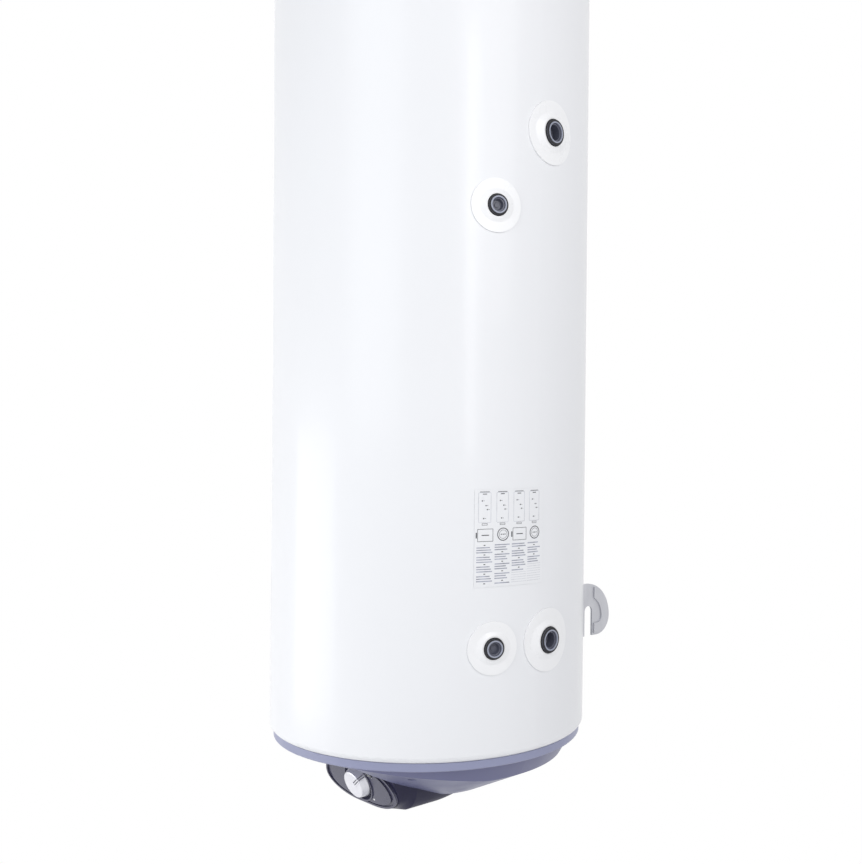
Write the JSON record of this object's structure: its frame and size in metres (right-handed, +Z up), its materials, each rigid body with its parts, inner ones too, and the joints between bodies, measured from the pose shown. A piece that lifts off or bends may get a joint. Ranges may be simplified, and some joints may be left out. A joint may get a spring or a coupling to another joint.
{
  "type": "indirect water heater",
  "caption": "Tall round wall-hung water cylinder with a heating coil, side connections, a domed bottom cover and a thermostat knob in a dark control panel.",
  "frame": {"origin": "on the wall plane, midway between the two upper hook slots and level with their round tops", "axes": "+Z up along the casing; -Y is the front, where the knob faces; +Y points into the wall; +X is the viewer's right, where the side connections are"},
  "size_m": [0.4487, 0.4699, 1.3085],
  "materials": {
    "casing_enamel": "glossy white stove enamel on steel sheet",
    "pale_plastic": "smooth pale grey-lilac plastic, satin to glossy",
    "cover_plastic": "smooth grey-lilac moulded plastic, satin to glossy",
    "dark_plastic": "dark blue-grey moulded plastic, satin",
    "fascia_gloss": "polished blue-grey plastic",
    "knob_silver": "silver-lacquered plastic, satin",
    "clear_lens": "clear moulded lens, polished",
    "white_plastic": "glossy white plastic",
    "plug_grey": "blue-grey polythene, dull",
    "seal_rubber": "black rubber, matt",
    "bare_steel": "plain machined steel",
    "zinc_steel": "zinc-plated pressed steel, satin",
    "tank_enamel": "vitreous enamel, dark blue, glossy",
    "foam": "rigid polyurethane foam, matt, pale yellow",
    "label_film": "printed plastic film, white",
    "magnesium": "cast magnesium, dull grey",
    "copper_line": "drawn copper, smooth",
    "black_plastic": "black moulded plastic, matt",
    "red_plastic": "red moulded plastic",
    "blue_plastic": "blue moulded plastic"
  },
  "bodies": {
    "heater": {"anode_nut": "bare_steel", "anode_rod": "magnesium", "base_ring": "pale_plastic", "bottom_cover": "cover_plastic", "cable_gland": "black_plastic", "capillary_line": "copper_line", "cold_inlet_collar": "blue_plastic", "cold_inlet_pipe": "bare_steel", "connection_label": "label_film", "control_housing": "dark_plastic", "cover_screws": "bare_steel", "earth_stud": "bare_steel", "fascia": "fascia_gloss", "flange_bolts": "bare_steel", "flange_gasket": "seal_rubber", "flange_neck": "bare_steel", "flange_plate": "bare_steel", "heating_coil": "tank_enamel", "heating_element": "bare_steel", "hot_outlet_collar": "red_plastic", "hot_outlet_pipe": "bare_steel", "inlet_diffuser": "white_plastic", "insulation_bottom": "foam", "insulation_top": "foam", "insulation_wall": "foam", "lower_bracket": "zinc_steel", "lower_bracket_collars": "white_plastic", "lower_coil_escutcheon": "white_plastic", "lower_coil_seal": "seal_rubber", "lower_coil_socket": "bare_steel", "lower_sensor_escutcheon": "white_plastic", "lower_sensor_pocket": "bare_steel", "lower_sensor_seal": "seal_rubber", "outer_casing": "casing_enamel", "pilot_lens": "clear_lens", "tank_bottom_dome": "tank_enamel", "tank_shell": "tank_enamel", "tank_top_dome": "tank_enamel", "terminal_block": "white_plastic", "thermal_cutout": "black_plastic", "thermostat_body": "black_plastic", "thermowell": "bare_steel", "top_cover": "casing_enamel", "upper_bracket": "zinc_steel", "upper_bracket_collars": "white_plastic", "upper_coil_escutcheon": "white_plastic", "upper_coil_seal": "seal_rubber", "upper_coil_socket": "bare_steel", "upper_sensor_escutcheon": "white_plastic", "upper_sensor_pocket": "bare_steel", "upper_sensor_seal": "seal_rubber"},
    "knob": {"knob": "knob_silver", "knob_spindle": "bare_steel"},
    "reset_button": {"reset_button": "red_plastic"},
    "upper_coil_plug": {"upper_coil_plug": "plug_grey"},
    "upper_sensor_plug": {"upper_sensor_plug": "plug_grey"},
    "lower_sensor_plug": {"lower_sensor_plug": "plug_grey"},
    "lower_coil_plug": {"lower_coil_plug": "plug_grey"}
  },
  "joints": [
    {"name": "knob_turn", "type": "hinge", "parent": "heater", "child": "knob", "pos_m": [0, -0.3701, -1.159], "axis": [0, -0.9397, -0.342], "range_deg": [-85, 185]},
    {"name": "upper_coil_plug_out", "type": "slide", "parent": "heater", "child": "upper_coil_plug", "axis": [0.9962, 0.0872, 0], "range_m": [0, 0.08]},
    {"name": "upper_sensor_plug_out", "type": "slide", "parent": "heater", "child": "upper_sensor_plug", "axis": [0.9527, -0.304, 0], "range_m": [0, 0.08]},
    {"name": "lower_sensor_plug_out", "type": "slide", "parent": "heater", "child": "lower_sensor_plug", "axis": [0.9527, -0.304, 0], "range_m": [0, 0.08]},
    {"name": "lower_coil_plug_out", "type": "slide", "parent": "heater", "child": "lower_coil_plug", "axis": [0.9962, 0.0872, 0], "range_m": [0, 0.08]},
    {"name": "reset_press", "type": "slide", "parent": "heater", "child": "reset_button", "axis": [0, 0, 1], "range_m": [0, 0.0015], "stiffness_N_per_m": 500, "springref_m": -0.001}
  ]
}
